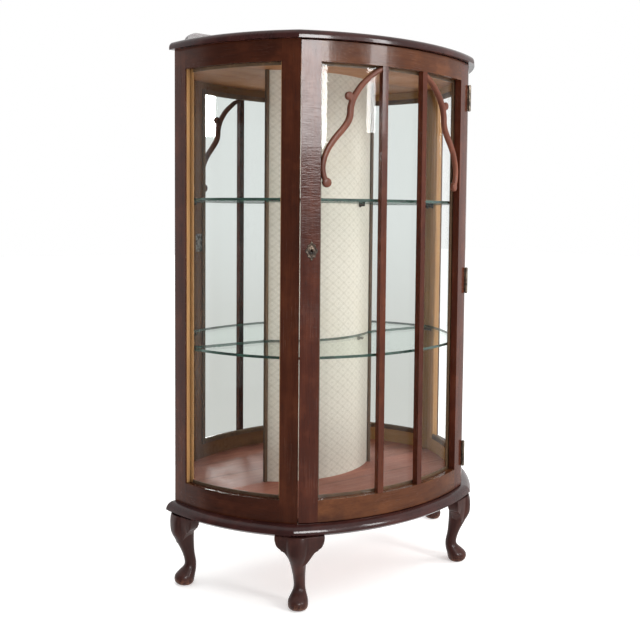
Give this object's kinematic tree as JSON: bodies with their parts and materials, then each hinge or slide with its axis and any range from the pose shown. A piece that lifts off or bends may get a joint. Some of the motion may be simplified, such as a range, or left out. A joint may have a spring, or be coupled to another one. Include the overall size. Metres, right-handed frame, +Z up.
{
  "type": "china cabinet",
  "caption": "Bow-front display cabinet with a glazed door, curved glazed sides, glass shelves, mirrored back and cabriole legs.",
  "frame": {"origin": "on the floor under the middle of the cabinet's bounding box", "axes": "+Z up, -Y the bowed front with the door, +Y the flat back, +X the hinge side"},
  "size_m": [0.8094, 0.353, 1.2245],
  "materials": {
    "dark_mahogany": "French-polished dark mahogany, near gloss",
    "side_mahogany": "French-polished red-brown mahogany, near gloss",
    "door_mahogany": "French-polished faded mahogany, near gloss",
    "bare_wood": "unpolished golden beading",
    "floor_veneer": "reddish veneer, satin",
    "ceiling_ply": "plain orange-brown plywood",
    "back_ply": "plain plywood",
    "window_glass": "clear bent glass",
    "shelf_glass": "clear glass with green polished edges",
    "silvered_mirror": "silvered plate",
    "lattice_paper": "cream embossed lattice paper",
    "tarnished_brass": "dark tarnished brass",
    "lock_iron": "blackened iron",
    "peg_bronze": "dark bronze"
  },
  "bodies": {
    "carcass": {"back_panel": "back_ply", "back_upstand": "dark_mahogany", "base_moulding": "dark_mahogany", "case_hinge_leaves": "tarnished_brass", "case_hinge_screws": "tarnished_brass", "ceiling_board": "ceiling_ply", "centre_panel": "back_ply", "centre_panel_beads": "dark_mahogany", "centre_panel_formers": "back_ply", "centre_panel_paper": "lattice_paper", "floor_board": "floor_veneer", "hinge_pins": "tarnished_brass", "knee_bracket_back_left": "dark_mahogany", "knee_bracket_back_right": "dark_mahogany", "knee_bracket_front_left": "dark_mahogany", "knee_bracket_front_right": "dark_mahogany", "knee_bracket_side_left": "dark_mahogany", "knee_bracket_side_right": "dark_mahogany", "leg_back_left": "dark_mahogany", "leg_back_right": "dark_mahogany", "leg_dowels": "bare_wood", "leg_front_left": "dark_mahogany", "leg_front_right": "dark_mahogany", "mirror_left": "silvered_mirror", "mirror_right": "silvered_mirror", "shelf_lower": "shelf_glass", "shelf_pegs": "peg_bronze", "shelf_upper": "shelf_glass", "side_back_stile_left": "side_mahogany", "side_back_stile_right": "side_mahogany", "side_beads_left": "bare_wood", "side_beads_right": "bare_wood", "side_bottom_rail_left": "side_mahogany", "side_bottom_rail_right": "side_mahogany", "side_front_stile_left": "side_mahogany", "side_front_stile_right": "side_mahogany", "side_glass_left": "window_glass", "side_glass_right": "window_glass", "side_top_rail_left": "side_mahogany", "side_top_rail_right": "side_mahogany", "top_board": "dark_mahogany"},
    "door": {"door_bar_left": "door_mahogany", "door_bar_right": "door_mahogany", "door_beads": "bare_wood", "door_bottom_rail": "door_mahogany", "door_fret_left": "door_mahogany", "door_fret_right": "door_mahogany", "door_glass": "window_glass", "door_hinge_leaves": "tarnished_brass", "door_hinge_screws": "tarnished_brass", "door_hinge_stile": "door_mahogany", "door_lock_stile": "door_mahogany", "door_top_rail": "door_mahogany", "lock_case": "lock_iron", "escutcheon": "tarnished_brass", "escutcheon_pins": "tarnished_brass"},
    "bolt": {"lock_bolt": "lock_iron"}
  },
  "joints": [
    {"name": "door_swing", "type": "hinge", "parent": "carcass", "child": "door", "pos_m": [0.23475, -0.10381, 0.6765], "axis": [0, 0, 1], "range_deg": [0, 110]},
    {"name": "lock_bolt_slide", "type": "slide", "parent": "door", "child": "bolt", "axis": [-0.9111, 0.4123, 0], "range_m": [0, 0.007]}
  ]
}
